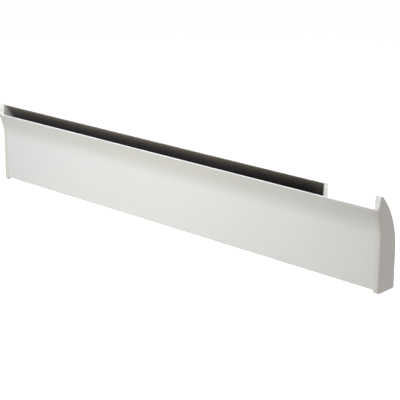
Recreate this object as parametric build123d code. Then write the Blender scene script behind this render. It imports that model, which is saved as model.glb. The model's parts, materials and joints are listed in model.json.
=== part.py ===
from build123d import *
import os
from math import atan2, cos, radians, sin, tan

# Low wall-hung panel heater. X runs along its length, -Y faces the room, +Z is up.
# While it is drawn, Y is zero at the foot of the front and Z is zero under the end caps.
# All lengths are in millimetres.

# Whole heater
total_length = 1096.0
height = 184.0
body_depth = 47.0
wall_space = 22.0
overrun = 40.0

# Side outline, as the end caps show it
panel_lean = 1.5
flare_rise = 54.0
flare_bend = 34.0
flare_angle = 19.0
rim_drop = 24.0
tip_front = 2.5
tip_back = 2.5
tip_drop = 0.7
back_rise = 107.0

# End caps
cap_width = 13.0
cap_wall = 2.5
cap_proud = 0.6
cap_front_round = 5.0
cap_edge_round = 1.6
cap_heel_round = 4.0
cap_pocket_drop = 5.5
spigot_reach = 10.0
spigot_wall = 2.0
wedge_set_back = 6.0
wedge_lean_share = 0.3

# Sheet metal covers
sheet = 1.2
cover_foot = 5.0
front_flange = 11.0
hem_thickness = 3.0
hem_fold = 8.0
seam_gap = 0.3
fit_gap = 0.3
seat_gap = 0.2
sliding_gap = 0.05

# Air ways
inlet_slot_width = 4.0
inlet_slot_pitch = 10.0
inlet_front = 15.0
inlet_back = 41.0
inlet_margin = 30.0
liner_gap = 4.5
liner_sheet = 0.8
liner_foot_rise = 17.5
liner_tip_inset = 2.2
grille_drop = 29.0
grille_sheet = 1.2
grille_slot_width = 5.5
grille_slot_pitch = 8.0
grille_border = 3.0

# Control bay at the right end
bay_length = 105.0
bay_depth = 58.0
cheek_width = 9.0
cheek_angle = 40.0
cheek_front = 3.5
cheek_step_drop = 12.0
panel_drop = 31.5
panel_wall = 2.5
notch_lip = 1.5
bulkhead_sheet = 1.0

# Heating element
element_radius = 4.0
element_height_share = 0.245
element_rows_apart = 20.0
element_left_gap = 28.0
element_tail = 12.0
fin_sheet = 0.6
fin_pitch = 12.0
fin_front_room = 9.0
fin_back_room = 8.0
fin_height_share = 0.24
fin_left_gap = 52.0
fin_right_gap = 22.0
support_sheet = 1.2
support_foot = 12.0
support_clearance = 2.0
support_flange = 12.0
support_count = 4
bush_radius = 7.0
bush_length = 8.0
terminal_radius = 5.5
terminal_length = 9.0
pin_radius = 1.5
pin_length = 7.0

# Thermal cut-out
cutout_radius = 8.0
cutout_height = 7.0
cutout_setback = 55.0
cutout_lift = 3.5
cutout_plate = 1.0
cutout_plate_width = 22.0
blade_width = 5.0
blade_thickness = 0.8
blade_length = 8.0
blade_spread = 5.0

# Thermostat dial, its shaft and sensor
dial_radius = 13.0
dial_height = 11.0
dial_float = 0.5
dial_from_cap = 38.0
dial_skirt = 2.0
dial_skirt_reach = 2.0
dial_grip_count = 24
dial_grip_radius = 0.7
dial_pointer = 1.2
shaft_radius = 3.0
shaft_grip = 7.0
pot_side = 18.0
pot_height = 7.0
pot_neck_radius = 4.5
pot_neck = 8.0

# Rocker switch
rocker_from_dial = 44.0
switch_length = 21.0
switch_width = 15.0
switch_bezel = 1.6
switch_rim = 1.8
switch_depth = 14.0
key_gap = 0.4
key_pivot_drop = 2.5
key_rise = 3.0
key_tilt = 6.0
key_floor = 3.5
lens_radius = 2.5
lens_rise = 1.0
lens_from_dial = 24.0

# Control board
board_drop = 22.5
board_sheet = 1.6
board_front_room = 8.0
board_back_room = 11.0
board_left_gap = 16.0
board_right_gap = 8.0
post_radius = 3.2
post_inset = 4.5
relay_length = 19.0
relay_width = 15.0
relay_height = 15.0
capacitor_radius = 5.0
capacitor_height = 8.0
choke_radius = 6.0
choke_height = 7.5
lamp_radius = 1.5

# Supply terminals and inlet
block_length = 36.0
block_width = 16.0
block_height = 18.0
block_from_cap = 80.0
block_pole_count = 3
block_screw_radius = 2.4
block_screw_rise = 1.0
gland_from_cap = 30.0
gland_height = 26.0
gland_radius = 8.0
gland_bore = 4.0
gland_reach = 9.0
gland_nut_radius = 10.0
gland_nut = 4.0
gland_thread_radius = 6.5
earth_from_block = 24.0
earth_set_back = 4.0
tag_radius = 4.0
tag_sheet = 0.8
tag_neck = 9.0
sensor_radius = 2.2
sensor_length = 14.0
sensor_from_bulkhead = 27.0
sensor_y = 14.0
sensor_clip_wall = 1.2
sensor_clip_length = 8.0
sensor_lift = 5.0

# Fasteners
screw_radius = 1.75
screw_length = 11.0
screw_head_radius = 3.4
screw_head = 2.0
screw_head_round = 1.1
cross_length = 3.6
cross_width = 0.8
cross_depth = 1.2
boss_radius = 3.8
boss_length = 10.0
cap_screw_low = 30.0
cap_screw_high_drop = 7.0
cover_screw_y = 7.0
cover_screw_share = 0.3
small_screw_radius = 1.25
small_screw_length = 8.0
small_head_radius = 2.4
small_head = 1.5

# Leads inside the bay
lead_radius = 1.2
lead_bend = 8.0
lead_spread = 7.0
cutout_column = 15.0
cutout_column_step = 7.0
element_column = 36.0
element_column_step = 14.0
sensor_column = 30.0
grommet_rim = 1.8
grommet_wall = 3.0

# Wall bracket
bracket_setback = 62.0
bracket_sheet = 2.0
bracket_width = 44.0
bracket_shoulder = 4.0
bracket_flange = 7.0
bracket_hole_radius = 2.75
bracket_hole_inset = 60.0
bracket_hole_rise = 24.0
hook_seat_drop = 3.0
hook_neck = 8.0
hook_tongue = 10.0
hook_tongue_width = 2.7
hook_play = 0.5
hook_inset = 16.0
hook_travel = 12.0
hook_slot_width = 6.0
hook_shoulder = 5.0

# Wall buffers
buffer_radius = 8.0
buffer_stem_radius = 3.0
buffer_from_cap = 90.0
buffer_height = 20.0
buffer_stem = 4.0
buffer_barb_radius = 3.8
buffer_barb = 2.0

# Places worked out from the sizes above
half_length = total_length / 2
seam_x = half_length - cap_width
cover_end = seam_x - seam_gap
skin = cap_proud + sheet
notch_x = seam_x - bay_length
bulkhead_x = notch_x - bay_depth
floor_z = cover_foot + sheet
floor_top = floor_z + sheet
wall_y = body_depth + wall_space
back_outer = body_depth - cap_proud
back_inner = back_outer - sheet
rim_height = height - rim_drop
flare_start = rim_height - flare_rise
flare_turn = flare_start + flare_bend
lean_angle = atan2(panel_lean, flare_start)
flare_lean = radians(flare_angle)
bend_radius = flare_bend / (sin(flare_lean) + sin(lean_angle))
turn_front = panel_lean - bend_radius * (cos(lean_angle) - cos(flare_lean))
flare_depth = (rim_height - flare_turn) * tan(flare_lean) - turn_front
back_straight = height - back_rise
grille_height = rim_height - grille_drop
panel_top = rim_height - panel_drop
board_top = panel_top - board_drop
cheek_step = rim_height - cheek_step_drop
cap_pocket_top = panel_top - cap_pocket_drop
dial_x = seam_x - dial_from_cap
rocker_x = dial_x - rocker_from_dial
lens_x = dial_x - lens_from_dial
fin_start = -seam_x + fin_left_gap
fin_end = bulkhead_x - fin_right_gap
fin_depth = body_depth - fin_front_room - fin_back_room
fin_height = height * fin_height_share
element_start = -seam_x + element_left_gap
element_y = fin_front_room + fin_depth / 2
element_middle = height * element_height_share
element_low = element_middle - element_rows_apart / 2
element_high = element_middle + element_rows_apart / 2
fin_top = element_middle + fin_height / 2
support_top = fin_top + support_clearance
cutout_foot = fin_top + cutout_lift
liner_foot = cutout_foot + liner_foot_rise
cutout_middle = cutout_foot + cutout_plate + cutout_height / 2
grommet_bore = blade_spread + lead_radius + seat_gap
grommet_radius = grommet_bore + grommet_rim
board_left = bulkhead_x + board_left_gap
sensor_x = bulkhead_x + sensor_from_bulkhead
board_y = board_front_room
board_width = body_depth - board_y - board_back_room
block_x = seam_x - block_from_cap
block_y = element_y
earth_x = block_x - block_length / 2 - earth_from_block
earth_y = block_y + earth_set_back
cap_screw_high = back_straight - cap_screw_high_drop
hook_seat = back_straight - hook_seat_drop
bracket_top = hook_seat + bracket_shoulder
bracket_foot = bracket_top - bracket_width
bracket_length = bulkhead_x + bulkhead_x - bracket_setback - bracket_setback
bracket_hole_spacing = bracket_length - bracket_hole_inset - bracket_hole_inset
mount_height = (bracket_foot + bracket_top) / 2
hook_x = bracket_length / 2 - hook_inset


def arc_depth(base, tip, tip_height, z):
    """Depth at a height of the arc that leaves an upright line and ends at the tip."""
    rise = tip_height - back_straight
    reach = base - tip
    bend = (reach * reach + rise * rise) / (reach + reach)
    across = bend * bend - (z - back_straight) * (z - back_straight)
    return base - bend + across ** (1 / 2)


panel_back = arc_depth(body_depth, tip_back, height - tip_drop, panel_top) - skin
dial_y = (panel_back + skin) / 2
lens_y = dial_y


def rect(y0, y1, z0, z1):
    """A rectangle in the side view, between two depths and two heights."""
    return Pos((y0 + y1) / 2, (z0 + z1) / 2) * Rectangle(y1 - y0, z1 - z0)


def prism(section, x0, x1):
    """A side view section made solid between two places along the length."""
    return extrude(Plane.YZ.offset(x0) * section, amount=x1 - x0, dir=(1, 0, 0))


def block(x0, x1, y0, y1, z0, z1):
    centre = Pos((x0 + x1) / 2, (y0 + y1) / 2, (z0 + z1) / 2)
    return centre * Box(x1 - x0, y1 - y0, z1 - z0)


def rod_x(radius, x0, x1, y, z):
    return Pos((x0 + x1) / 2, y, z) * Rot(Y=90) * Cylinder(radius, x1 - x0)


def rod_y(radius, x, y0, y1, z):
    return Pos(x, (y0 + y1) / 2, z) * Rot(X=90) * Cylinder(radius, y1 - y0)


def rod_z(radius, x, y, z0, z1):
    return Pos(x, y, (z0 + z1) / 2) * Cylinder(radius, z1 - z0)


def both_ends(solid):
    """A solid and its mirror image about the middle of the length."""
    return [solid, mirror(solid, Plane.YZ)]


def front_edges():
    foot = (0, 0)
    bend = (panel_lean, flare_start)
    turn = (turn_front, flare_turn)
    rim = (-flare_depth, rim_height)
    return [Line(foot, bend), TangentArc(bend, turn, tangent=bend), Line(turn, rim)]


def back_edges():
    heel = (body_depth, 0)
    bend = (body_depth, back_straight)
    tip = (tip_back, height - tip_drop)
    return [Line(heel, bend), TangentArc(bend, tip, tangent=(0, 1))]


def outline():
    """The fin-shaped side outline: leaning front, flare, open top edge, tip and curved back."""
    rim = (-flare_depth, rim_height)
    tip = (-tip_front, height)
    joins = [
        Line(rim, tip),
        Line(tip, (tip_back, height - tip_drop)),
        Line((body_depth, 0), (0, 0)),
    ]
    return make_face(front_edges() + back_edges() + joins)


def inset(amount):
    """The side outline drawn in by an even amount."""
    return offset(outline(), -amount, kind=Kind.INTERSECTION)


def inside(clearance):
    """The side view of the room inside the covers, less a clearance."""
    return inset(skin + clearance)


def skin_ring():
    return inset(cap_proud) - inset(skin)


def slanted(x_front, depth_front, extra):
    """Everything left of the upright plane that runs back from the outlet's end to the left."""
    reach = (body_depth + overrun - depth_front) * tan(radians(cheek_angle))
    y_near = -flare_depth - overrun
    x_near = x_front + (depth_front - y_near) * tan(radians(cheek_angle))
    corners = [
        (x_near + extra, y_near),
        (x_front - reach + extra, body_depth + overrun),
        (-half_length - overrun, body_depth + overrun),
        (-half_length - overrun, y_near),
    ]
    floor = Plane.XY * make_face(Polyline(*corners, close=True))
    return extrude(floor, amount=height + overrun, dir=(0, 0, 1))


def screw(x, y, z, turn, length=screw_length):
    """A pan head screw whose head's underside is at the given place, turned to its direction."""
    shank = Pos(0, 0, length / 2) * Cylinder(screw_radius, length)
    head = Pos(0, 0, -screw_head / 2) * Cylinder(screw_head_radius, screw_head)
    head = fillet(head.edges().sort_by(Axis.Z)[0], screw_head_round)
    for long, wide in ((cross_length, cross_width), (cross_width, cross_length)):
        head -= Pos(0, 0, cross_depth / 2 - screw_head) * Box(long, wide, cross_depth)
    return Pos(x, y, z) * turn * (shank + head)


def cover_screw_places():
    outer = seam_x - inlet_margin
    inner = total_length * cover_screw_share / 2
    return [-outer, -inner, inner, outer]


def cap_screw_heights():
    return [cap_screw_low, cap_screw_high]


def front_cover():
    wall = skin_ring() & rect(-overrun, front_flange, cover_foot, rim_height - hem_thickness)
    flange = inset(cap_proud) & rect(-overrun, front_flange, cover_foot, floor_z)
    slope = Vector(-sin(flare_lean), cos(flare_lean))
    inward = Vector(slope.Y, -slope.X)
    rim = Vector(-flare_depth, rim_height)
    top = rim + inward * (cap_proud + hem_thickness / 2) - slope * (hem_thickness / 2)
    fold = Line(top, top - slope * hem_fold)
    hem = make_face(Wire([fold]).offset_2d(hem_thickness / 2))
    cover = prism(wall + flange + hem, -cover_end, cover_end)
    for x in cover_screw_places():
        cover -= rod_z(screw_radius + sliding_gap, x, cover_screw_y, 0, floor_top)
    return cover


def inlet_slots():
    """The air inlet: a row of slots across the floor of the covers."""
    slots = []
    x = -seam_x + inlet_margin
    while x < seam_x - inlet_margin:
        slot = block(x - inlet_slot_width / 2, x + inlet_slot_width / 2,
                     inlet_front, inlet_back, 0, floor_top + sheet)
        if x < bulkhead_x - inlet_slot_pitch:
            slots.append(slot)
        x += inlet_slot_pitch
    return slots


def rear_cover():
    high = rim_height - hem_fold - hem_thickness
    zone = rect(body_depth / 2, body_depth, floor_z, height) + rect(0, body_depth, high, height)
    wall = skin_ring() & zone
    floor = inset(skin + fit_gap) & rect(0, body_depth, floor_z, floor_top)
    heel = inset(cap_proud) & rect(body_depth / 2, body_depth, floor_z, floor_top)
    cover = prism(wall + floor + heel, -cover_end, cover_end)
    low = block(-half_length, half_length, -overrun, wall_y, 0, panel_top + notch_lip)
    fin = slanted(notch_x, -cheek_front, 0)
    cover = cover & (low + fin)
    cover -= inlet_slots()
    for x in cover_screw_places():
        cover -= rod_z(screw_radius + sliding_gap, x, cover_screw_y, 0, floor_top + sheet)
    slot_top = hook_seat + seat_gap
    slot_foot = hook_seat - hook_neck - hook_travel - hook_play
    for x in (-hook_x, hook_x):
        cover -= block(x - hook_slot_width / 2, x + hook_slot_width / 2,
                       body_depth / 2, body_depth, slot_foot, slot_top)
    for z in cap_screw_heights():
        cover -= both_ends(rod_y(screw_radius + sliding_gap, cap_screw_x(), body_depth / 2,
                                 body_depth, z))
    cover -= both_ends(rod_y(buffer_stem_radius + sliding_gap, seam_x - buffer_from_cap,
                             body_depth / 2, body_depth, buffer_height))
    cover -= rod_y(gland_thread_radius + sliding_gap, seam_x - gland_from_cap,
                   body_depth / 2, body_depth, gland_height)
    cover -= rod_z(screw_radius + sliding_gap, earth_x, earth_y, 0, floor_top + sheet)
    return cover


def outlet_liner():
    """The black heat shield along the curved back, drawn in towards the tip."""
    base = back_inner - liner_gap
    tip_y = tip_back - liner_tip_inset / 2
    tip_z = height - tip_drop - skin - liner_tip_inset / 2
    rise = tip_z - back_straight
    reach = base - tip_y
    bend = (reach * reach + rise * rise) / (reach + reach)
    centre = Pos(base - bend, back_straight)
    ring = centre * Circle(bend + liner_sheet) - centre * Circle(bend)
    sweep = ring & rect(tip_y, body_depth, liner_foot, height) & inside(seat_gap)
    foot = rect(base - liner_sheet, body_depth, liner_foot, liner_foot + liner_sheet)
    foot = foot & inside(seat_gap)
    liner = prism(sweep, -cover_end, cover_end)
    liner += prism(foot, -seam_x + spigot_reach + fit_gap, cover_end)
    liner = liner & slanted(notch_x - cheek_width, -cheek_front, -seam_gap)
    bay = block(bulkhead_x - seam_gap, half_length, -overrun, wall_y, 0, panel_top + seam_gap)
    return liner - bay


def liner_front(z):
    """How far back the liner's front face stands at a height."""
    tip_y = tip_back - liner_tip_inset / 2
    tip_z = height - tip_drop - skin - liner_tip_inset / 2
    return arc_depth(back_inner - liner_gap, tip_y, tip_z, z)


def outlet_grille():
    """The finger guard across the outlet, deep below the rim."""
    top = grille_height + grille_sheet
    back = liner_front(top) - fit_gap
    plate = inside(fit_gap) & rect(-overrun, back, grille_height, top)
    grille = prism(plate, -cover_end, bulkhead_x)
    front = plate.vertices().sort_by(Axis.X)[0].X
    slots = []
    x = -cover_end + grille_slot_pitch
    while x < bulkhead_x - grille_slot_pitch:
        slots.append(block(x - grille_slot_width / 2, x + grille_slot_width / 2,
                           front + grille_border, back - grille_border,
                           grille_height - grille_sheet, top + grille_sheet))
        x += grille_slot_pitch
    return grille - slots


def cap_screw_x():
    return seam_x - spigot_reach / 2


def right_end_cap():
    face = outline()
    heel = face.vertices().sort_by_distance((body_depth, 0))[0]
    face = fillet(heel, cap_heel_round)
    cap = prism(face, seam_x, half_length)
    side = cap.faces().sort_by(Axis.X)[-1]
    low_edge = rim_height - flare_depth
    near = [e for e in side.edges() if e.center().Y < panel_lean and e.center().Z < low_edge]
    cap = fillet(near, cap_front_round)
    side = cap.faces().sort_by(Axis.X)[-1]
    far = [e for e in side.edges() if e.center().Y > body_depth / 2]
    cap = fillet(far, cap_edge_round)
    open_part = inset(cap_wall) & rect(-overrun, body_depth, 0, cap_pocket_top)
    closed_part = inset(cap_wall) & rect(-overrun, body_depth, cap_pocket_top - cap_wall, height)
    cap -= prism(open_part, seam_x - overrun, half_length - cap_wall)
    hollow = prism(closed_part, seam_x + cap_wall, half_length - cap_wall)
    cap -= hollow - Pos(0, cap_wall, -cap_wall) * cap_wedge()
    legs = inside(fit_gap) - inside(fit_gap + spigot_wall)
    legs = legs & rect(-overrun, body_depth, floor_top + fit_gap, cap_pocket_top)
    cap += prism(legs, seam_x - spigot_reach, half_length - cap_wall / 2)
    inner = back_inner - fit_gap
    for z in cap_screw_heights():
        cap += rod_y(boss_radius, cap_screw_x(), inner - boss_length, inner - spigot_wall / 2, z)
    for z in cap_screw_heights():
        cap -= rod_y(screw_radius + sliding_gap, cap_screw_x(), inner - boss_length - sheet,
                     body_depth, z)
    return cap - cap_wedge()


def cap_wedge():
    """Sets the inner front edge back above the rim, so that it stands behind the outer one."""
    lean = wedge_set_back * wedge_lean_share
    corners = [
        (seam_x - overrun, -flare_depth + wedge_set_back),
        (seam_x, -flare_depth + wedge_set_back),
        (half_length, -flare_depth),
        (half_length, -flare_depth - overrun),
        (seam_x - overrun, -flare_depth - overrun),
    ]
    floor = Pos(0, 0, rim_height) * make_face(Polyline(*corners, close=True))
    rise = height - rim_height
    along = Vector(0, lean, rise)
    return extrude(floor, amount=along.length + rise, dir=along.normalized())


def end_cap_screws():
    back = back_outer + seat_gap
    group = []
    for z in cap_screw_heights():
        group += both_ends(screw(cap_screw_x(), back, z, Rot(X=90)))
    return group


def cover_screws():
    under = cover_foot - seat_gap
    return [screw(x, cover_screw_y, under, Rot(X=0)) for x in cover_screw_places()]


def element_places():
    return [element_low, element_high]


def heating_element():
    """The hairpin element: two straight runs joined by a half turn at the left end."""
    right = bulkhead_x + element_tail
    bend = (element_high - element_low) / 2
    left = element_start + bend
    low_run = Line((right, element_y, element_low), (left, element_y, element_low))
    turn = ThreePointArc((left, element_y, element_low), (left - bend, element_y, element_middle),
                         (left, element_y, element_high))
    high_run = Line((left, element_y, element_high), (right, element_y, element_high))
    path = Wire([low_run, turn, high_run])
    start = Plane(origin=(right, element_y, element_low), z_dir=(-1, 0, 0))
    return sweep(start * Circle(element_radius), path=path)


def fin_places():
    places = []
    x = fin_end
    while x > fin_start:
        places.append(x)
        x -= fin_pitch
    return places


def element_fins():
    plate = rect(element_y - fin_depth / 2, element_y + fin_depth / 2,
                 element_middle - fin_height / 2, element_middle + fin_height / 2)
    for z in element_places():
        plate -= Pos(element_y, z) * Circle(element_radius + sliding_gap)
    first = prism(plate, -fin_sheet / 2, fin_sheet / 2)
    return [Pos(x, 0, 0) * first for x in fin_places()]


def support_places():
    """The supports stand midway between two fins, evenly along the element."""
    gaps = [x - fin_pitch / 2 for x in fin_places()[:-1]]
    last = len(gaps) - 1
    return [gaps[round(k * last / (support_count - 1))] for k in range(support_count)]


def element_supports():
    room = inside(fit_gap) & rect(-overrun, body_depth, support_foot, support_top)
    web = room
    for z in element_places():
        web -= Pos(element_y, z) * Circle(bush_radius + sliding_gap)
    flange = room - inside(fit_gap + support_sheet)
    flange = flange & rect(body_depth / 2, body_depth, support_foot, support_top)
    group = []
    for x in support_places():
        plate = prism(web, x - support_sheet / 2, x + support_sheet / 2)
        foot = prism(flange, x, x + support_flange)
        for hook in (-hook_x, hook_x):
            foot -= block(hook - hook_slot_width, hook + hook_slot_width, body_depth / 2,
                          body_depth, support_foot, support_top + support_foot)
        group.append(plate + foot)
    return group


def element_bushes():
    group = []
    for x in support_places() + [bulkhead_x + bulkhead_sheet / 2]:
        for z in element_places():
            ring = rod_x(bush_radius, x - bush_length / 2, x + bush_length / 2, element_y, z)
            bore = rod_x(element_radius + sliding_gap, x - bush_length, x + bush_length, element_y, z)
            group.append(ring - bore)
    return group


def element_terminals():
    """A ceramic plug with a pin on each end of the element, inside the bay."""
    start = bulkhead_x + element_tail
    group = []
    for z in element_places():
        plug = rod_x(terminal_radius, start, start + terminal_length, element_y, z)
        pin = rod_x(pin_radius, start + terminal_length, start + terminal_length + pin_length,
                    element_y, z)
        group.append(plug + pin)
    return group


def heat_bulkhead():
    """The steel wall between the hot air channel and the control bay."""
    room = inside(fit_gap) & rect(-overrun, body_depth, floor_top + seat_gap,
                                  panel_top - panel_wall - seat_gap)
    for z in element_places():
        room -= Pos(element_y, z) * Circle(bush_radius + sliding_gap)
    room -= Pos(element_y, cutout_middle) * Circle(grommet_radius + sliding_gap)
    return prism(room, bulkhead_x, bulkhead_x + bulkhead_sheet)


def lead_grommet():
    middle = bulkhead_x + bulkhead_sheet / 2
    body = rod_x(grommet_radius, middle - grommet_wall, middle + grommet_wall, element_y,
                 cutout_middle)
    lip = rod_x(grommet_radius + bulkhead_sheet, middle + bulkhead_sheet / 2 + sliding_gap,
                middle + grommet_wall, element_y, cutout_middle)
    bore = rod_x(grommet_bore, middle - overrun, middle + overrun, element_y, cutout_middle)
    return body + lip - bore


def cutout_x():
    """The cut-out stands midway between two fins, set back from the bulkhead."""
    near = [x for x in fin_places() if x < bulkhead_x - cutout_setback]
    return near[0] + fin_pitch / 2


def cutout_bracket():
    """A small angle on the back wall that holds the cut-out just above the fins."""
    x = cutout_x()
    low = cutout_foot
    shelf = inside(fit_gap) & rect(element_y - cutout_radius, body_depth, low, low + cutout_plate)
    leg = inside(fit_gap) - inside(fit_gap + cutout_plate)
    leg = leg & rect(body_depth / 2, body_depth, low - fin_pitch, low)
    return prism(shelf + leg, x - cutout_plate_width / 2, x + cutout_plate_width / 2)


def thermal_cutout():
    """A snap-disc cut-out with two blades for its leads."""
    x = cutout_x()
    low = cutout_foot + cutout_plate
    body = rod_z(cutout_radius, x, element_y, low, low + cutout_height)
    for y in (element_y - blade_spread, element_y + blade_spread):
        body += block(x, x + cutout_radius + blade_length, y - blade_thickness / 2,
                      y + blade_thickness / 2, cutout_middle - blade_width / 2,
                      cutout_middle + blade_width / 2)
    return body


def control_panel():
    """The thermostat fascia: its top plate, the slanted cheek that ends the outlet, and posts."""
    right = seam_x - seam_gap
    plate = prism(inside(fit_gap) & rect(-overrun, body_depth, panel_top - panel_wall, panel_top),
                  bulkhead_x + bulkhead_sheet, right)
    cheek = inside(fit_gap) & rect(-overrun, body_depth, panel_top - panel_wall, height)
    cheek -= rect(-overrun, -cheek_front, cheek_step, height)
    cheek = prism(cheek, bulkhead_x + bulkhead_sheet, right)
    cheek = cheek & slanted(notch_x, -cheek_front, -seam_gap)
    cheek -= slanted(notch_x - cheek_width, -cheek_front, 0)
    posts = [rod_z(post_radius, x, y, board_top, panel_top - panel_wall / 2)
             for x, y in post_places()]
    bores = [rod_z(small_screw_radius + sliding_gap, x, y, board_top - sheet,
                   board_top + small_screw_length + sheet) for x, y in post_places()]
    panel = plate + cheek + posts - bores
    panel -= rod_z(pot_neck_radius + fit_gap, dial_x, dial_y, board_top, height)
    panel -= rod_z(lens_radius + sliding_gap, lens_x, lens_y, board_top, height)
    inner_length = switch_length - switch_rim
    inner_width = switch_width - switch_rim
    panel -= block(rocker_x - inner_length / 2 - sliding_gap, rocker_x + inner_length / 2 + sliding_gap,
                   dial_y - inner_width / 2 - sliding_gap, dial_y + inner_width / 2 + sliding_gap,
                   board_top, panel_top + panel_wall)
    return panel


def board_right():
    return seam_x - spigot_reach - board_right_gap


def board_back():
    return board_y + board_width


def post_places():
    return [(x, y) for x in (board_left + post_inset, board_right() - post_inset)
            for y in (board_y + post_inset, board_back() - post_inset)]


def control_board():
    board = block(board_left, board_right(), board_y, board_back(), board_top - board_sheet,
                  board_top)
    for x, y in post_places():
        board -= rod_z(small_screw_radius + sliding_gap, x, y, board_top - overrun,
                       board_top + overrun)
    return board


def board_screws():
    group = []
    for x, y in post_places():
        under = board_top - board_sheet
        group.append(rod_z(small_screw_radius, x, y, under, board_top + small_screw_length)
                     + rod_z(small_head_radius, x, y, under - small_head, under))
    return group


def board_parts():
    """The relay, the choke, the capacitor and the lamp under the lens, standing on the board."""
    x = board_left + post_inset + post_radius + relay_length / 2
    y = board_y + relay_width / 2 + board_sheet
    relay = block(x - relay_length / 2, x + relay_length / 2, y - relay_width / 2,
                  y + relay_width / 2, board_top, board_top + relay_height)
    right = x + relay_length / 2 + post_radius + choke_radius
    choke = rod_z(choke_radius, right, y, board_top, board_top + choke_height)
    right += choke_radius + board_sheet + capacitor_radius
    capacitor = rod_z(capacitor_radius, right, y, board_top, board_top + capacitor_height)
    lamp = rod_z(lamp_radius, lens_x, lens_y, board_top, panel_top - panel_wall - seat_gap)
    return [relay, choke, capacitor, lamp]


def potentiometer():
    """The set-point potentiometer on the board, with its threaded neck under the dial."""
    body = block(dial_x - pot_side / 2, dial_x + pot_side / 2, dial_y - pot_side / 2 + board_sheet,
                 dial_y + pot_side / 2, board_top, board_top + pot_height)
    neck = rod_z(pot_neck_radius, dial_x, dial_y, board_top, board_top + pot_height + pot_neck)
    bore = rod_z(shaft_radius + sliding_gap, dial_x, dial_y, board_top + board_sheet, height)
    return body + neck - bore


def dial_shaft():
    foot = board_top + board_sheet + seat_gap
    head = panel_top + dial_float + shaft_grip
    shaft = rod_z(shaft_radius, dial_x, dial_y, foot, head)
    flat = block(dial_x - shaft_radius, dial_x + shaft_radius, dial_y + shaft_radius / 2,
                 dial_y + shaft_radius + overrun, head - shaft_grip, head + overrun)
    return shaft - flat


def thermostat_dial():
    """The thermostat knob, with a low skirt, a grooved grip and a pointer rib."""
    low = panel_top + dial_float
    top = low + dial_height
    skirt = rod_z(dial_radius, dial_x, dial_y, low, low + dial_skirt)
    grip_radius = dial_radius - dial_skirt_reach
    grip = rod_z(grip_radius, dial_x, dial_y, low, top)
    grip = chamfer(grip.faces().sort_by(Axis.Z)[-1].edges(), dial_grip_radius)
    for k in range(dial_grip_count):
        angle = radians(360 * (k + 0.5) / dial_grip_count)
        grip -= rod_z(dial_grip_radius, dial_x + grip_radius * sin(angle),
                      dial_y - grip_radius * cos(angle), low + dial_skirt, top)
    pointer = block(dial_x - dial_pointer / 2, dial_x + dial_pointer / 2,
                    dial_y - grip_radius + dial_grip_radius, dial_y, top,
                    top + dial_pointer / 2)
    bore = rod_z(shaft_radius + sliding_gap, dial_x, dial_y, low, low + shaft_grip + seat_gap)
    flat = block(dial_x - shaft_radius, dial_x + shaft_radius,
                 dial_y + shaft_radius / 2 + sliding_gap, dial_y + shaft_radius + sheet,
                 low, low + shaft_grip + seat_gap)
    return skirt + grip + pointer - (bore - flat)


def switch_body():
    """The rocker switch's housing, snapped into the panel, open at the top for its key."""
    bezel = block(rocker_x - switch_length / 2, rocker_x + switch_length / 2,
                  dial_y - switch_width / 2, dial_y + switch_width / 2,
                  panel_top, panel_top + switch_bezel)
    inner_length = switch_length - switch_rim
    inner_width = switch_width - switch_rim
    case = block(rocker_x - inner_length / 2, rocker_x + inner_length / 2,
                 dial_y - inner_width / 2, dial_y + inner_width / 2,
                 panel_top - switch_depth, panel_top)
    room_length = inner_length - switch_rim
    room_width = inner_width - switch_rim
    room = block(rocker_x - room_length / 2, rocker_x + room_length / 2,
                 dial_y - room_width / 2, dial_y + room_width / 2,
                 panel_top - switch_depth + key_floor, panel_top + overrun)
    pin = rod_y(pin_radius, rocker_x, dial_y - room_width / 2, dial_y + room_width / 2,
                panel_top - key_pivot_drop)
    return bezel + case - room + pin


def rocker_key():
    """The rocker, drawn pressed down at its left end, as it lies when the heater is off."""
    half = (switch_length - switch_rim - switch_rim) / 2 - key_gap
    half_width = (switch_width - switch_rim - switch_rim) / 2 - key_gap
    pivot = panel_top - key_pivot_drop
    rise = key_pivot_drop + switch_bezel + key_rise
    dip = rise - key_rise / 2
    root = key_pivot_drop + key_rise
    top = half - rise * sin(radians(key_tilt))
    shape = make_face(Polyline((-top, rise), (0, dip), (top, rise), (half, 0),
                               (pin_radius + key_gap, -root), (-pin_radius - key_gap, -root),
                               (-half, 0), close=True))
    shape -= Circle(pin_radius + sliding_gap)
    key = extrude(Plane.XZ * shape, amount=half_width, both=True)
    return Pos(rocker_x, dial_y, pivot) * Rot(Y=-key_tilt) * key


def indicator_lens():
    stem = rod_z(lens_radius, lens_x, lens_y, panel_top - panel_wall, panel_top)
    brim = rod_z(lens_radius + lens_rise / 2, lens_x, lens_y, panel_top, panel_top + lens_rise)
    return chamfer((stem + brim).faces().sort_by(Axis.Z)[-1].edges(), lens_rise / 2)


def terminal_block():
    """The supply terminals, with a funnel over each pole's screw."""
    body = block(block_x - block_length / 2, block_x + block_length / 2, block_y - block_width / 2,
                 block_y + block_width / 2, floor_top, floor_top + block_height)
    for pole in pole_places():
        body -= rod_z(block_screw_radius + sliding_gap, pole, block_y,
                      floor_top + block_height / 2, floor_top + block_height + sheet)
    return body


def pole_places():
    pitch = block_length / block_pole_count
    return [block_x + pitch * (k - (block_pole_count - 1) / 2) for k in range(block_pole_count)]


def terminal_screws():
    """The clamping screws of the block, each with a slot for a screwdriver."""
    top = floor_top + block_height - block_screw_rise
    group = []
    for pole in pole_places():
        slot = block(pole - block_screw_radius, pole + block_screw_radius,
                     block_y - cross_width / 2, block_y + cross_width / 2,
                     top - cross_width, top)
        group.append(rod_z(block_screw_radius, pole, block_y, floor_top + block_height / 2,
                           top) - slot)
    return group


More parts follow.
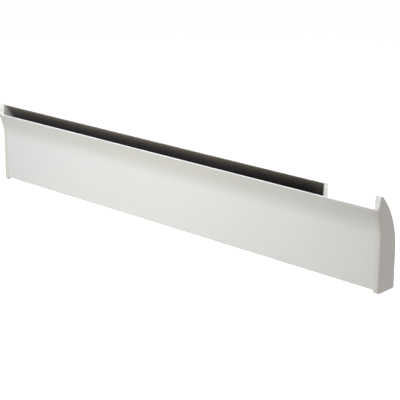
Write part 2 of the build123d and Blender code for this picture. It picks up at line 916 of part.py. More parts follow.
def cable_gland():
    """The inlet gland for a mains cord: its flange outside, its neck and its nut inside."""
    x = seam_x - gland_from_cap
    flange = rod_y(gland_radius, x, back_outer, back_outer + gland_reach, gland_height)
    flange = chamfer(flange.faces().sort_by(Axis.Y)[-1].edges(), cap_edge_round)
    neck = rod_y(gland_thread_radius, x, back_inner - gland_nut, back_outer, gland_height)
    bore = rod_y(gland_bore, x, 0, wall_y, gland_height)
    return flange + neck - bore


def gland_nut_ring():
    x = seam_x - gland_from_cap
    hexagon = extrude(RegularPolygon(gland_nut_radius, 6), amount=gland_nut)
    turned = Pos(x, back_inner, gland_height) * Rot(X=90) * hexagon
    return turned - rod_y(gland_thread_radius + sliding_gap, x, 0, wall_y, gland_height)


def earth_screw():
    top = floor_top + tag_sheet
    shank = rod_z(screw_radius, earth_x, earth_y, floor_z - screw_head, top)
    head = rod_z(screw_head_radius, earth_x, earth_y, top, top + screw_head)
    return shank + head


def earth_tag():
    ring = rod_z(tag_radius, earth_x, earth_y, floor_top, floor_top + tag_sheet)
    neck = block(earth_x, earth_x + tag_neck, earth_y - tag_sheet, earth_y + tag_sheet, floor_top,
                 floor_top + tag_sheet)
    bore = rod_z(screw_radius + sliding_gap, earth_x, earth_y, 0, height)
    return ring + neck - bore


def room_sensor():
    bead = rod_x(sensor_radius, sensor_x - sensor_length / 2, sensor_x + sensor_length / 2,
                 sensor_y, floor_top + sensor_lift)
    return fillet(bead.faces().sort_by(Axis.X)[0].edges(), sensor_radius / 2)


def sensor_clip():
    """A snap clip that holds the room sensor over the bay's floor."""
    z = floor_top + sensor_lift
    low = sensor_x - sensor_clip_length / 2
    high = sensor_x + sensor_clip_length / 2
    outer = sensor_radius + sensor_clip_wall
    ring = rod_x(outer, low, high, sensor_y, z)
    stem = block(low, high, sensor_y - sensor_clip_wall, sensor_y + sensor_clip_wall, floor_top, z)
    bore = rod_x(sensor_radius + sliding_gap, low - overrun, high + overrun, sensor_y, z)
    mouth = block(low - sensor_clip_wall, high + sensor_clip_wall, sensor_y - sensor_radius / 2,
                  sensor_y + sensor_radius / 2, z, z + outer + sheet)
    return ring + stem - bore - mouth


def lead(*points, radius=lead_radius):
    """A round lead along straight runs joined by bends."""
    path = FilletPolyline(*points, radius=lead_bend) if len(points) > 2 else Line(*points)
    start = Plane(origin=path @ 0, z_dir=path % 0)
    return sweep(start * Circle(radius), path=path)


def board_under():
    return board_top - board_sheet


def supply_leads():
    """Two leads from the supply terminals up to the board, with a step each."""
    group = []
    foot = floor_top + block_height
    middle = (foot + board_under()) / 2
    near = block_y - block_screw_radius - lead_radius - lead_radius
    for pole in pole_places()[:2]:
        group.append(lead((pole, near, foot), (pole, near, middle - lead_bend),
                          (pole, near - lead_spread, middle + lead_bend),
                          (pole, near - lead_spread, board_under())))
    return group


def element_leads():
    """A lead from each element terminal to the underside of the board."""
    pin = bulkhead_x + element_tail + terminal_length + pin_length
    group = []
    steps = (element_column_step, 0)
    for z, step in zip(element_places(), steps):
        column = board_left + element_column + step
        group.append(lead((pin, element_y, z), (column, element_y, z),
                          (column, element_y, board_under())))
    return group


def cutout_leads():
    """Two leads from the cut-out's blades, through the grommet, to the board."""
    blade_end = cutout_x() + cutout_radius + blade_length
    group = []
    for spread, step in ((-blade_spread, 0), (blade_spread, cutout_column_step)):
        y = element_y + spread
        column = board_left + cutout_column + step
        group.append(lead((blade_end, y, cutout_middle), (column, y, cutout_middle),
                          (column, y, board_under())))
    return group


def sensor_lead():
    z = floor_top + sensor_lift
    column = board_left + sensor_column
    start = sensor_x + sensor_length / 2
    return lead((start, sensor_y, z), (column, sensor_y, z), (column, sensor_y, board_under()),
                radius=lead_radius / 2)


def earth_lead():
    """The green and yellow lead from the earth tag to the supply terminals."""
    z = floor_top + lead_radius
    end = block_x - block_length / 2
    return lead((earth_x + tag_neck, earth_y, z), (end, earth_y, z))


def wall_bracket():
    """The steel rail on the wall, with a hook at each end that the heater hangs on."""
    back = wall_y - bracket_sheet
    half = bracket_length / 2
    rail = block(-half, half, back, wall_y, bracket_foot, bracket_top)
    for z in (bracket_foot, bracket_top - bracket_sheet):
        rail += block(-half, half, back - bracket_flange, wall_y, z, z + bracket_sheet)
    for x in (-bracket_hole_spacing / 2, bracket_hole_spacing / 2):
        for z in (mount_height - bracket_hole_rise / 2, mount_height + bracket_hole_rise / 2):
            rail -= rod_y(bracket_hole_radius, x, body_depth, wall_y + sheet, z)
    tongue = back_inner - hook_play
    crotch = back_outer + hook_play
    low = hook_seat - hook_neck
    arm = make_face(Polyline(
        (wall_y, bracket_foot), (back - bracket_flange, bracket_foot), (crotch, low),
        (tongue - hook_tongue_width, low), (tongue - hook_tongue_width, hook_seat + hook_tongue),
        (tongue, hook_seat + hook_tongue), (tongue, hook_seat), (crotch, hook_seat),
        (crotch, hook_seat + hook_shoulder), (wall_y, hook_seat + hook_shoulder), close=True))
    for x in (-hook_x, hook_x):
        rail += prism(arm, x - bracket_sheet / 2, x + bracket_sheet / 2)
    return rail & block(-half, half, 0, wall_y, bracket_foot, height)


def wall_buffers():
    """The two buffers that keep the heater's foot off the wall, snapped through the back."""
    x = seam_x - buffer_from_cap
    pad = rod_y(buffer_radius, x, back_outer, wall_y, buffer_height)
    pad = chamfer(pad.faces().sort_by(Axis.Y)[-1].edges(), cap_edge_round)
    stem = rod_y(buffer_stem_radius, x, back_inner - buffer_stem, back_outer, buffer_height)
    barb = rod_y(buffer_barb_radius, x, back_inner - buffer_barb - fit_gap, back_inner - fit_gap,
                 buffer_height)
    return both_ends(pad + stem + barb)


def pieces():
    """Every separate piece by the name of its file."""
    right_cap = right_end_cap()
    return {
        "front_cover": front_cover(),
        "rear_cover": rear_cover(),
        "outlet_liner": outlet_liner(),
        "outlet_grille": outlet_grille(),
        "right_end_cap": right_cap,
        "left_end_cap": mirror(right_cap, Plane.YZ),
        "end_cap_screws": end_cap_screws(),
        "cover_screws": cover_screws(),
        "heating_element": heating_element(),
        "element_fins": element_fins(),
        "element_supports": element_supports(),
        "element_bushes": element_bushes(),
        "element_terminals": element_terminals(),
        "heat_bulkhead": heat_bulkhead(),
        "lead_grommet": lead_grommet(),
        "cutout_bracket": cutout_bracket(),
        "thermal_cutout": thermal_cutout(),
        "control_panel": control_panel(),
        "control_board": control_board(),
        "board_screws": board_screws(),
        "board_parts": board_parts(),
        "potentiometer": potentiometer(),
        "dial_shaft": dial_shaft(),
        "thermostat_dial": thermostat_dial(),
        "switch_body": switch_body(),
        "rocker_key": rocker_key(),
        "indicator_lens": indicator_lens(),
        "terminal_block": terminal_block(),
        "terminal_screws": terminal_screws(),
        "cable_gland": cable_gland(),
        "gland_nut": gland_nut_ring(),
        "earth_screw": earth_screw(),
        "earth_tag": earth_tag(),
        "room_sensor": room_sensor(),
        "sensor_clip": sensor_clip(),
        "supply_leads": supply_leads(),
        "element_leads": element_leads(),
        "cutout_leads": cutout_leads(),
        "sensor_lead": sensor_lead(),
        "earth_lead": earth_lead(),
        "wall_bracket": wall_bracket(),
        "wall_buffers": wall_buffers(),
    }


def write_parts():
    """Writes each piece, with the frame's origin on the wall, midway between the screw holes."""
    os.makedirs("parts", exist_ok=True)
    frame = Pos(0, -wall_y, -mount_height)
    for name, shape in pieces().items():
        solids = shape if isinstance(shape, list) else [shape]
        found = [s for item in solids for s in item.solids()]
        placed = [frame * s for s in found]
        whole = placed[0] if len(placed) == 1 else Compound(children=placed)
        whole.label = name
        export_step(whole, f"parts/{name}.step")


write_parts()
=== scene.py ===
import json
from math import cos, pi, radians, sin

import bpy
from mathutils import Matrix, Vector


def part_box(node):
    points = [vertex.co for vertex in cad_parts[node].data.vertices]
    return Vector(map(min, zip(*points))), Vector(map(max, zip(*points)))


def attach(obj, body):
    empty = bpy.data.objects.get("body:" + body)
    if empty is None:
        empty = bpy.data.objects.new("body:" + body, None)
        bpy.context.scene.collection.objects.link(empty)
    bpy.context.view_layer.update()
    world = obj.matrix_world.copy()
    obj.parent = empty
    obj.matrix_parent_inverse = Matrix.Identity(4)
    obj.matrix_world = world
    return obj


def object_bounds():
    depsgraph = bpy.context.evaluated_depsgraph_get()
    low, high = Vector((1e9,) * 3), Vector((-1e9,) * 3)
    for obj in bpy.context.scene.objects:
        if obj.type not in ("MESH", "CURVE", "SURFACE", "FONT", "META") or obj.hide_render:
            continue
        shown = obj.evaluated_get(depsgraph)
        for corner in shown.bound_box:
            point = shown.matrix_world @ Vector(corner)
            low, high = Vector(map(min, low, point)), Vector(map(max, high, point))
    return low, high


# Looks of a low wall-hung panel heater. The solids, their places and their moves come from
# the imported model. All lengths are in metres.

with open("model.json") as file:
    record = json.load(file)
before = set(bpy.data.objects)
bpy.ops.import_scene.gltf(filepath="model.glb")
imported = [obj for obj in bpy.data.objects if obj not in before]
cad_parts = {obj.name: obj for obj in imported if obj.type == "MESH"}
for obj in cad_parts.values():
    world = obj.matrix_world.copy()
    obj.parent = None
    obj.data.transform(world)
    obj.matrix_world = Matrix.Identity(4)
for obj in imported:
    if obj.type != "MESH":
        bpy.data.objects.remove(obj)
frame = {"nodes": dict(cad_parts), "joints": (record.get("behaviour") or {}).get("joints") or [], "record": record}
bpy.context.view_layer.update()
cad_low, cad_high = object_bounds()
nodes = frame["nodes"]
joints = {joint["name"]: joint for joint in frame["joints"]}
scene = bpy.context.scene

# The outlet liner, with painted light towards its top and painted shade towards its right end
# Painted light: the paint greys from the lower height up to the top
LINER_PAINTED_LIGHT_TOP_Z = cad_high[2]
LINER_PAINTED_LIGHT_LOW_Z = LINER_PAINTED_LIGHT_TOP_Z - 0.046
# Painted shade: the paint darkens between these two places along x, by up to this share
LINER_PAINTED_SHADE_X = (0.15, 0.36)
LINER_PAINTED_SHADE_DEPTH = 0.24
LINER_BLOTCH = 0.10

# The dial, and the scale printed round it on the panel. A tick is a length and half a width
DIAL = Vector(joints["dial_turn"]["pos_m"])
DIAL_SWEEP = radians(-joints["dial_turn"]["range_deg"][0])
DIAL_LOW, DIAL_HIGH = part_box("thermostat_dial")
DIAL_RADIUS = (DIAL_HIGH.x - DIAL_LOW.x) / 2
PRINT_THICK = 0.00004
SETTINGS = 6
TICKS_PER_SETTING = 4
TICK_RADIUS = DIAL_RADIUS + 0.0006
LONG_TICK = (0.0013, 0.00020)
SHORT_TICK = (0.0008, 0.00012)
NUMBER_RADIUS = DIAL_RADIUS + 0.0031
NUMBER_SIZE = 0.0021
LINE_RADII = (0.0012, 0.0098)
LINE_HALF_WIDTH = 0.00028

# The rocker's key, whose top dips in the middle, and the marks on its two halves
KEY = Vector(joints["rocker_press"]["pos_m"])
KEY_TILT = radians(joints["rocker_press"]["range_deg"][1] / 2)
KEY_TOP_HALF = 0.00756
KEY_RISE = 0.0071
KEY_DIP = 0.0056
MARK_SHARE = 0.52
MARK_PLACE = KEY_TOP_HALF * MARK_SHARE
BAR_HALF_WIDTH = 0.00022
BAR_HALF_LENGTH = 0.0014
RING_RADII = (0.00115, 0.00155)
RING_PARTS = 24


# Shading of the solids

SMOOTH_BELOW = radians(28)
WELD_DISTANCE = 0.000004
FLAT_BELOW = radians(0.5)
ROUNDED_ABOVE = radians(50)


def smooth_group():
    """Geometry nodes that weld the solid's facets and smooth all but its real edges."""
    group = bpy.data.node_groups.new("smooth", "GeometryNodeTree")
    group.interface.new_socket("Geometry", in_out="INPUT", socket_type="NodeSocketGeometry")
    group.interface.new_socket("Geometry", in_out="OUTPUT", socket_type="NodeSocketGeometry")
    made = group.nodes
    start = made.new("NodeGroupInput")
    end = made.new("NodeGroupOutput")
    drop = made.new("GeometryNodeRemoveAttribute")
    drop.inputs["Name"].default_value = "custom_normal"
    weld = made.new("GeometryNodeMergeByDistance")
    weld.inputs["Distance"].default_value = WELD_DISTANCE
    faces = made.new("GeometryNodeSetShadeSmooth")
    edges = made.new("GeometryNodeSetShadeSmooth")
    edges.domain = "EDGE"
    edges.inputs["Shade Smooth"].default_value = False
    bend = made.new("GeometryNodeInputMeshEdgeAngle")
    sharp = made.new("FunctionNodeCompare")
    sharp.operation = "GREATER_THAN"
    sharp.inputs[1].default_value = SMOOTH_BELOW
    link = group.links.new
    link(start.outputs[0], drop.inputs["Geometry"])
    link(drop.outputs[0], weld.inputs["Geometry"])
    link(weld.outputs[0], faces.inputs["Geometry"])
    link(faces.outputs[0], edges.inputs["Geometry"])
    link(bend.outputs["Unsigned Angle"], sharp.inputs[0])
    link(sharp.outputs["Result"], edges.inputs["Selection"])
    link(edges.outputs[0], end.inputs[0])
    return group


smoothing = smooth_group()


def soften(obj, edge=0.0):
    """Smooth shading, with a narrow rounded edge where the real piece has one."""
    step = obj.modifiers.new("smooth", "NODES")
    step.node_group = smoothing
    if edge:
        merge = obj.modifiers.new("flat_faces", "DECIMATE")
        merge.decimate_type = "DISSOLVE"
        merge.angle_limit = FLAT_BELOW
        bevel = obj.modifiers.new("edge", "BEVEL")
        bevel.width = edge
        bevel.segments = 2
        bevel.limit_method = "ANGLE"
        bevel.angle_limit = ROUNDED_ABOVE
    weights = obj.modifiers.new("weights", "WEIGHTED_NORMAL")
    weights.keep_sharp = True


# Parts of materials

BLOTCH_EDGES = (0.3, 0.7)
GLOSS_FINENESS = 3
GRAIN_DETAIL = 4.0
SMOOTHEST = 0.02
COAT_ROUGHNESS = 0.2


def new_material(name):
    mat = bpy.data.materials.new(name)
    mat.use_nodes = True
    return mat, mat.node_tree, mat.node_tree.nodes["Principled BSDF"]


def noise(tree, scale, detail=3.0, stretch=(1, 1, 1)):
    """A noise texture fixed to the piece."""
    place = tree.nodes.new("ShaderNodeTexCoord")
    mapping = tree.nodes.new("ShaderNodeMapping")
    mapping.inputs["Scale"].default_value = stretch
    texture = tree.nodes.new("ShaderNodeTexNoise")
    texture.inputs["Scale"].default_value = scale
    texture.inputs["Detail"].default_value = detail
    tree.links.new(place.outputs["Object"], mapping.inputs["Vector"])
    tree.links.new(mapping.outputs["Vector"], texture.inputs["Vector"])
    return texture.outputs["Fac"]


def math_node(tree, operation, *values):
    """What an operation makes of values, each of them a number or a node's output."""
    node = tree.nodes.new("ShaderNodeMath")
    node.operation = operation
    for socket, value in zip(node.inputs, values):
        if isinstance(value, float):
            socket.default_value = value
        else:
            tree.links.new(value, socket)
    return node.outputs[0]


def map_range(tree, value, given, wanted):
    """Turns the given range of a value, as two ends, into the wanted one."""
    node = tree.nodes.new("ShaderNodeMapRange")
    node.inputs["From Min"].default_value = given[0]
    node.inputs["From Max"].default_value = given[1]
    node.inputs["To Min"].default_value = wanted[0]
    node.inputs["To Max"].default_value = wanted[1]
    tree.links.new(value, node.inputs["Value"])
    return node.outputs["Result"]


def colour_ramp(tree, value, steps):
    """Turns a value into a colour. Each step is a position and its colour."""
    node = tree.nodes.new("ShaderNodeValToRGB")
    stops = node.color_ramp.elements
    for stop, (position, colour) in zip(stops, (steps[0], steps[-1])):
        stop.position = position
        stop.color = [*colour, 1]
    for position, colour in steps[1:-1]:
        stops.new(position).color = [*colour, 1]
    tree.links.new(value, node.inputs["Fac"])
    return node.outputs["Color"]


def shaded(colour, share):
    """A colour made darker or lighter by a share."""
    return [min(1, part * share) for part in colour]


def add_grain(tree, shader, scale, strength, depth, stretch=(1, 1, 1)):
    """A fine grain that stands on the surface."""
    lift = tree.nodes.new("ShaderNodeBump")
    lift.inputs["Strength"].default_value = strength
    lift.inputs["Distance"].default_value = depth
    tree.links.new(noise(tree, scale, GRAIN_DETAIL, stretch), lift.inputs["Height"])
    tree.links.new(lift.outputs["Normal"], shader.inputs["Normal"])


def surface(name, colour, vary=0.03, rough=0.45, rough_vary=0.08, metal=0.0, scale=60.0,
            bump=0.0, bump_scale=900.0, bump_depth=0.0004, stretch=(1, 1, 1), coat=0.0,
            specular=0.5):
    """A surface whose colour, gloss and grain vary a little from place to place."""
    mat, tree, shader = new_material(name)
    tints = (shaded(colour, 1 - vary), shaded(colour, 1 + vary))
    blotches = noise(tree, scale, stretch=stretch)
    tint = colour_ramp(tree, blotches, list(zip(BLOTCH_EDGES, tints)))
    tree.links.new(tint, shader.inputs["Base Color"])
    glosses = noise(tree, scale * GLOSS_FINENESS, stretch=stretch)
    gloss_ends = (max(SMOOTHEST, rough - rough_vary), min(1, rough + rough_vary))
    gloss = map_range(tree, glosses, (0, 1), gloss_ends)
    tree.links.new(gloss, shader.inputs["Roughness"])
    shader.inputs["Metallic"].default_value = metal
    shader.inputs["Specular IOR Level"].default_value = specular
    if coat:
        shader.inputs["Coat Weight"].default_value = coat
        shader.inputs["Coat Roughness"].default_value = COAT_ROUGHNESS
    if bump:
        add_grain(tree, shader, bump_scale, bump, bump_depth, stretch)
    return mat


def spangled(name, colour, size, shares=(0.92, 1.04), rough=(0.31, 0.47), metal=0.9):
    """Zinc-plated sheet: metal with faint crystal patches."""
    mat, tree, shader = new_material(name)
    place = tree.nodes.new("ShaderNodeTexCoord")
    cells = tree.nodes.new("ShaderNodeTexVoronoi")
    cells.inputs["Scale"].default_value = size
    tree.links.new(place.outputs["Object"], cells.inputs["Vector"])
    crystals = cells.outputs["Color"]
    tints = [shaded(colour, share) for share in shares]
    tint = colour_ramp(tree, crystals, list(enumerate(tints)))
    tree.links.new(tint, shader.inputs["Base Color"])
    tree.links.new(map_range(tree, crystals, (0, 1), rough), shader.inputs["Roughness"])
    shader.inputs["Metallic"].default_value = metal
    return mat


def scorched(name):
    """Black stove paint with painted light, greyer towards the rim, and painted shade, darker
    towards the right end."""
    mat, tree, shader = new_material(name)
    place = tree.nodes.new("ShaderNodeTexCoord")
    split = tree.nodes.new("ShaderNodeSeparateXYZ")
    tree.links.new(place.outputs["Object"], split.inputs[0])
    # Painted light: the paint is greyer the higher it stands, standing in for light on the liner's top
    height = map_range(tree, split.outputs["Z"], (LINER_PAINTED_LIGHT_LOW_Z, LINER_PAINTED_LIGHT_TOP_Z), (0, 1))
    # Painted shade: darker towards the right end, standing in for shade that falls there
    painted_shade_share = map_range(tree, split.outputs["X"], LINER_PAINTED_SHADE_X, (0, LINER_PAINTED_SHADE_DEPTH))
    painted_light_share = math_node(tree, "SUBTRACT", height, painted_shade_share)
    blotches = noise(tree, scale=14.0, stretch=(0.4, 1, 1))
    mixed = math_node(tree, "MULTIPLY_ADD", blotches, LINER_BLOTCH, painted_light_share)
    # Greys from black up to the painted light at the top
    steps = [(0.05, (0.014, 0.012, 0.011)), (0.30, (0.054, 0.045, 0.041)),
             (0.60, (0.128, 0.111, 0.103)), (0.85, (0.19, 0.172, 0.162)),
             (1.0, (0.27, 0.25, 0.24))]
    tree.links.new(colour_ramp(tree, mixed, steps), shader.inputs["Base Color"])
    shader.inputs["Roughness"].default_value = 0.55
    add_grain(tree, shader, scale=1800.0, strength=0.12, depth=0.0001)
    return mat


# Materials, named as the record's slots

SURFACES = {
    "cover_paint": dict(colour=(0.79, 0.81, 0.823), vary=0.008, rough=0.42, rough_vary=0.05,
                        scale=9, bump=0.10, bump_scale=1500, bump_depth=0.00012,
                        specular=0.35),
    "cap_plastic": dict(colour=(0.765, 0.762, 0.740), vary=0.012, rough=0.5, rough_vary=0.06,
                        scale=14, bump=0.16, bump_scale=2600, bump_depth=0.00012,
                        specular=0.4),
    "panel_plastic": dict(colour=(0.785, 0.783, 0.768), vary=0.01, rough=0.46,
                          rough_vary=0.06, scale=16, bump=0.14, bump_scale=2400,
                          bump_depth=0.0001),
    "screw_steel": dict(colour=(0.62, 0.62, 0.64), vary=0.08, rough=0.3, metal=1.0,
                        scale=700, bump=0.1, bump_scale=3000, bump_depth=0.00005),
    "sheath_steel": dict(colour=(0.36, 0.33, 0.30), vary=0.22, rough=0.42, metal=0.95,
                         scale=18, stretch=(0.3, 1, 1)),
    "fin_aluminium": dict(colour=(0.74, 0.75, 0.76), vary=0.05, rough=0.32, metal=1.0,
                          scale=120),
    "ceramic": dict(colour=(0.80, 0.77, 0.70), vary=0.05, rough=0.7, scale=180, bump=0.2,
                    bump_scale=1400, bump_depth=0.0001),
    "rubber": dict(colour=(0.035, 0.035, 0.036), vary=0.15, rough=0.75, scale=90, bump=0.25,
                   bump_scale=1600, bump_depth=0.00015),
    "board": dict(colour=(0.03, 0.17, 0.07), vary=0.25, rough=0.35, scale=160, coat=0.4),
    "board_parts": dict(colour=(0.03, 0.03, 0.035), vary=0.2, rough=0.3, scale=80),
    "pot_metal": dict(colour=(0.56, 0.56, 0.53), vary=0.08, rough=0.34, metal=1.0, scale=300),
    "dial_plastic": dict(colour=(0.77, 0.768, 0.755), vary=0.012, rough=0.42,
                         rough_vary=0.05, bump=0.12, bump_scale=3200, bump_depth=0.00008),
    "switch_plastic": dict(colour=(0.045, 0.045, 0.047), vary=0.04, rough=0.5, scale=40,
                           bump=0.15, bump_scale=3000, bump_depth=0.00008),
    "key_plastic": dict(colour=(0.05, 0.05, 0.052), rough=0.32, rough_vary=0.03, scale=40,
                        bump=0.1, bump_scale=3200, bump_depth=0.00005),
    "lens_plastic": dict(colour=(0.62, 0.09, 0.03), vary=0.08, rough=0.12, rough_vary=0.03,
                         scale=300, coat=0.6),
    "block_plastic": dict(colour=(0.82, 0.79, 0.70), scale=100),
    "brass": dict(colour=(0.72, 0.55, 0.26), vary=0.07, rough=0.3, metal=1.0, scale=400),
    "gland_plastic": dict(colour=(0.035, 0.035, 0.037), vary=0.12, rough=0.5, scale=120,
                          bump=0.15, bump_scale=2600, bump_depth=0.00008),
    "sensor": dict(colour=(0.05, 0.035, 0.025), vary=0.2, rough=0.25, scale=300),
    "clip_plastic": dict(colour=(0.8, 0.8, 0.78), vary=0.02, scale=100),
    "lead_brown": dict(colour=(0.16, 0.07, 0.03), vary=0.1, scale=90),
    "lead_grey": dict(colour=(0.26, 0.26, 0.27), vary=0.08, rough=0.5, scale=90),
    "lead_green": dict(colour=(0.22, 0.36, 0.04), vary=0.2, scale=90),
}
looks = {name: surface(name, **values) for name, values in SURFACES.items()}
# The liner's paint, with painted light and painted shade
looks["liner_paint"] = scorched("liner_paint")
looks["zinc_steel"] = spangled("zinc_steel", (0.62, 0.63, 0.65), size=260.0)
looks["bracket_steel"] = spangled("bracket_steel", (0.60, 0.61, 0.63), size=220.0)
marks = surface("marks", (0.16, 0.165, 0.17), vary=0.08, rough=0.6, scale=400)
pale_marks = surface("pale_marks", (0.78, 0.78, 0.77), rough=0.55, scale=400)

# How far the edges of these pieces are rounded
ROUNDED = {
    "thermostat_dial": 0.0002,
    "terminal_block": 0.0003,
    "board_parts": 0.0003,
    "switch_body": 0.00025,
    "rocker_key": 0.0003,
    "gland_nut": 0.0003,
}
slots = {row["node"]: row["material_slot"] for row in frame["record"]["subparts"]}
for name, obj in nodes.items():
    obj.data.materials.clear()
    obj.data.materials.append(looks[slots[name]])
    soften(obj, ROUNDED.get(name, 0.0))


# Print


def add_print(name, data, look, body, place=(0, 0, 0)):
    """Puts a printed shape in the scene, riding on a body."""
    obj = bpy.data.objects.new(name, data)
    scene.collection.objects.link(obj)
    obj.location = place
    data.materials.clear()
    data.materials.append(look)
    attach(obj, body)


def patches(name, outlines):
    """A mesh of thin flat patches. Each corner of an outline is its foot and its top."""
    verts = []
    faces = []
    for corners in outlines:
        base = len(verts)
        count = len(corners)
        verts += [foot for foot, top in corners]
        verts += [top for foot, top in corners]
        faces.append([base + k for k in reversed(range(count))])
        faces.append([base + count + k for k in range(count)])
        for k in range(count):
            after = (k + 1) % count
            faces.append([base + k, base + after, base + count + after, base + count + k])
    data = bpy.data.meshes.new(name)
    data.from_pydata(verts, [], faces)
    data.update()
    return data


def level(corners):
    """The corners of a patch on a level surface, each with its foot and its top."""
    return [(foot, foot + Vector((0, 0, PRINT_THICK))) for foot in corners]


def dial_direction(share):
    """Where the dial points at a share of its turn, which starts at the front."""
    angle = -pi / 2 - share * DIAL_SWEEP
    return Vector((cos(angle), sin(angle), 0))


def dial_scale():
    """Ticks printed on the panel round the dial, from rest to its other stop."""
    outlines = []
    ticks = SETTINGS * TICKS_PER_SETTING
    for k in range(ticks + 1):
        length, half = LONG_TICK if k % TICKS_PER_SETTING == 0 else SHORT_TICK
        out = dial_direction(k / ticks)
        side = Vector((-out.y, out.x, 0)) * half
        near = DIAL + out * TICK_RADIUS
        far = DIAL + out * (TICK_RADIUS + length)
        outlines.append(level([near - side, near + side, far + side, far - side]))
    add_print("dial_scale", patches("dial_scale", outlines), marks, "heater")


def dial_numbers():
    """The settings, printed outside the long ticks."""
    for number in range(1, SETTINGS + 1):
        words = bpy.data.curves.new(f"number_{number}", "FONT")
        words.body = str(number)
        words.size = NUMBER_SIZE
        words.align_x = "CENTER"
        words.align_y = "CENTER"
        words.extrude = PRINT_THICK / 2
        words.resolution_u = 3
        shape = bpy.data.objects.new(f"number_shape_{number}", words)
        scene.collection.objects.link(shape)
        bpy.context.view_layer.update()
        data = bpy.data.meshes.new_from_object(shape)
        bpy.data.objects.remove(shape)
        place = DIAL + dial_direction(number / SETTINGS) * NUMBER_RADIUS
        place.z += PRINT_THICK / 2
        add_print(f"dial_number_{number}", data, marks, "heater", place)


def dial_line():
    """The dark line along the dial's pointer rib."""
    inner, outer = LINE_RADII
    half = LINE_HALF_WIDTH
    places = [(-half, -outer), (half, -outer), (half, -inner), (-half, -inner)]
    corners = [Vector((DIAL.x + x, DIAL.y + y, DIAL_HIGH.z)) for x, y in places]
    add_print("dial_line", patches("dial_line", [level(corners)]), marks, "dial")


def key_place(along, across, raised):
    """A place on the rocker's top, as it lies at rest: along its length, across and above."""
    share = abs(along) / KEY_TOP_HALF
    height = KEY_DIP + (KEY_RISE - KEY_DIP) * share + raised
    x = along * cos(KEY_TILT) - height * sin(KEY_TILT)
    z = along * sin(KEY_TILT) + height * cos(KEY_TILT)
    return KEY + Vector((x, across, z))


def key_patch(outline):
    """The corners of a patch on the key's top, each with its foot and its top."""
    return [(key_place(along, across, -PRINT_THICK / 2), key_place(along, across, PRINT_THICK))
            for along, across in outline]


def key_marks():
    """The on bar and the off ring on the rocker's two halves."""
    near = MARK_PLACE - BAR_HALF_WIDTH
    far = MARK_PLACE + BAR_HALF_WIDTH
    half = BAR_HALF_LENGTH
    outlines = [key_patch([(near, -half), (far, -half), (far, half), (near, half)])]
    inner, outer = RING_RADII
    for k in range(RING_PARTS):
        a = 2 * pi * k / RING_PARTS
        b = 2 * pi * (k + 1) / RING_PARTS
        part = [(inner, a), (outer, a), (outer, b), (inner, b)]
        outlines.append(key_patch([(radius * cos(turn) - MARK_PLACE, radius * sin(turn))
                                   for radius, turn in part]))
    add_print("key_marks", patches("key_marks", outlines), pale_marks, "rocker")


dial_scale()
dial_numbers()
dial_line()
key_marks()


# The photograph's camera, at the height and heading that its long edges give

CAMERA_PLACE = (1.72264, -1.75184, 0.74258)
CAMERA_DIP = 14.7064
CAMERA_HEADING = 43.9047
SENSOR_WIDTH = 36
LENS = 108.51
LENS_SHIFT = -0.1222

camera = bpy.data.objects.new("camera", bpy.data.cameras.new("camera"))
scene.collection.objects.link(camera)
camera.location = CAMERA_PLACE
camera.rotation_euler = (radians(90 - CAMERA_DIP), 0, radians(CAMERA_HEADING))
camera.data.sensor_width = SENSOR_WIDTH
camera.data.lens = LENS
camera.data.shift_y = LENS_SHIFT
camera.data.clip_start = 0.05
camera.data.clip_end = 30
scene.camera = camera


# Stage and light

FLOOR_DROP = 0.32
FLOOR_HALF = 14.0
FLOOR_GLOW = 0.975
ROOM_GLOW = 0.02

WHITE = (1, 1, 1)
# Each lamp's name, place, aim, width, power and colour
LAMPS = [
    ("key", (-0.05, -0.75, 1.15), (0.12, 0, 0.05), 0.6, 7.7, (0.97, 1, 1.07)),
    ("front", (-0.4, -1.3, 0.65), (-0.1, 0, 0.06), 0.7, 5.9, (0.95, 1, 1.11)),
    ("high", (-0.25, -0.55, 1.5), (-0.16, 0, 0.05), 0.8, 13.8, (0.99, 1, 1.03)),
    ("low", (-0.1, -0.9, -0.33), (-0.1, 0, 0.05), 0.6, 2.3, (1, 0.87, 0.35)),
    ("side", (2.07, -0.22, 0.5), (0.5, 0, 0.05), 0.8, 7.6, WHITE),
    ("end", (2.1, 0.3, 0.45), (0.5, 0, 0.05), 0.8, 1.1, WHITE),
    ("back", (0.2, 1.5, 0.9), (0, 0, 0.05), 1.4, 14, WHITE),
    ("far_end", (-2.1, 0.4, 0.5), (-0.5, 0, 0.05), 0.8, 5.0, WHITE),
]


def any_ray(tree, *kinds):
    """1 for a ray of one of the kinds, and 0 for any other."""
    path = tree.nodes.new("ShaderNodeLightPath")
    found = path.outputs[f"Is {kinds[0]} Ray"]
    for kind in kinds[1:]:
        found = math_node(tree, "MAXIMUM", found, path.outputs[f"Is {kind} Ray"])
    return found


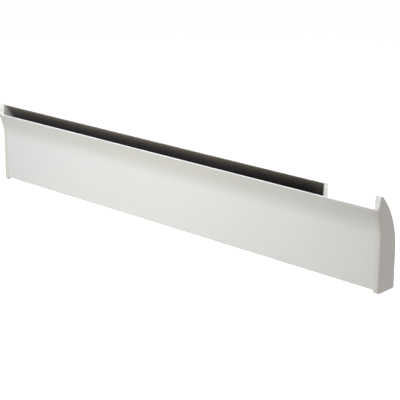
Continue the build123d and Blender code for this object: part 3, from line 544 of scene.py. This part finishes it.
def stage_floor():
    """A plain floor that looks white and throws a warm light back."""
    low = cad_low[2] - FLOOR_DROP
    corners = [(-1, -1), (1, -1), (1, 1), (-1, 1)]
    data = bpy.data.meshes.new("floor")
    data.from_pydata([(x * FLOOR_HALF, y * FLOOR_HALF, low) for x, y in corners], [],
                     [(0, 1, 2, 3)])
    obj = bpy.data.objects.new("floor", data)
    scene.collection.objects.link(obj)
    mat, tree, shader = new_material("floor")
    tint = colour_ramp(tree, noise(tree, scale=3.0),
                       [(0, (0.64, 0.585, 0.52)), (1, (0.68, 0.62, 0.555))])
    shader.inputs["Roughness"].default_value = 0.9
    shader.inputs["Specular IOR Level"].default_value = 0.0
    glow = tree.nodes.new("ShaderNodeEmission")
    strength = math_node(tree, "MULTIPLY", any_ray(tree, "Camera", "Transmission"), FLOOR_GLOW)
    both = tree.nodes.new("ShaderNodeAddShader")
    link = tree.links.new
    link(tint, shader.inputs["Base Color"])
    link(strength, glow.inputs["Strength"])
    link(shader.outputs[0], both.inputs[0])
    link(glow.outputs[0], both.inputs[1])
    link(both.outputs[0], tree.nodes["Material Output"].inputs["Surface"])
    data.materials.append(mat)
    return obj


def add_world():
    """A room that looks white, also in a reflection, and gives little light."""
    room = bpy.data.worlds.new("room")
    scene.world = room
    room.use_nodes = True
    tree = room.node_tree
    back = tree.nodes["Background"]
    back.inputs["Color"].default_value = (1, 1, 1, 1)
    seen = any_ray(tree, "Camera", "Transmission", "Glossy")
    tree.links.new(map_range(tree, seen, (0, 1), (ROOM_GLOW, 1)), back.inputs["Strength"])


def add_lamp(name, place, aim, width, power, colour):
    """A square lamp that faces its aim."""
    data = bpy.data.lights.new(name, "AREA")
    data.size = width
    data.color = colour
    data.energy = power
    obj = bpy.data.objects.new(name, data)
    scene.collection.objects.link(obj)
    obj.location = place
    turn = Vector(aim) - Vector(place)
    obj.rotation_euler = turn.to_track_quat("-Z", "Y").to_euler()


floor = stage_floor()
add_world()
for row in LAMPS:
    add_lamp(*row)
scene.view_settings.view_transform = "Standard"

bpy.context.view_layer.update()
